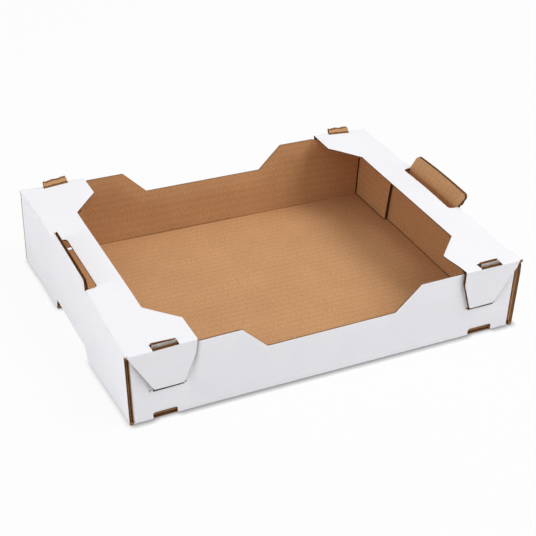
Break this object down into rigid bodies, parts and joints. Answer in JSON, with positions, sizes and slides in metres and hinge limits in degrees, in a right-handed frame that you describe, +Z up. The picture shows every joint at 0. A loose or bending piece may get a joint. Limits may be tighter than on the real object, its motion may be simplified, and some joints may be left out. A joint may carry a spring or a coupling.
{
  "type": "cardboard tray box",
  "caption": "Open stacking produce tray folded from white-lined corrugated board, with end ledges, hand holes, stacking tabs and lock flaps tucked into the long walls",
  "frame": {"origin": "middle of the underside of the bottom panel, on the surface that the tray stands on", "axes": "+X along the long walls, away from the end with the hand notch at its foot; +Y across to the long wall at the back of the picture; +Z up, out of the open top"},
  "size_m": [0.402, 0.308, 0.0922],
  "materials": {
    "white_lined_board": "matte"
  },
  "bodies": {
    "tray": {"tray": "white_lined_board"},
    "front_left_lock_flap": {"front_left_lock_flap": "white_lined_board"},
    "front_right_lock_flap": {"front_right_lock_flap": "white_lined_board"},
    "back_left_lock_flap": {"back_left_lock_flap": "white_lined_board"},
    "back_right_lock_flap": {"back_right_lock_flap": "white_lined_board"}
  },
  "joints": [
    {"name": "front_left_lock_flap_hinge", "type": "hinge", "parent": "tray", "child": "front_left_lock_flap", "pos_m": [-0.168, -0.154, 0.08], "axis": [-1, 0, 0], "range_deg": [0, 90]},
    {"name": "front_right_lock_flap_hinge", "type": "hinge", "parent": "tray", "child": "front_right_lock_flap", "pos_m": [0.168, -0.154, 0.08], "axis": [-1, 0, 0], "range_deg": [0, 90]},
    {"name": "back_left_lock_flap_hinge", "type": "hinge", "parent": "tray", "child": "back_left_lock_flap", "pos_m": [-0.168, 0.154, 0.08], "axis": [1, 0, 0], "range_deg": [0, 90]},
    {"name": "back_right_lock_flap_hinge", "type": "hinge", "parent": "tray", "child": "back_right_lock_flap", "pos_m": [0.168, 0.154, 0.08], "axis": [1, 0, 0], "range_deg": [0, 90]}
  ]
}
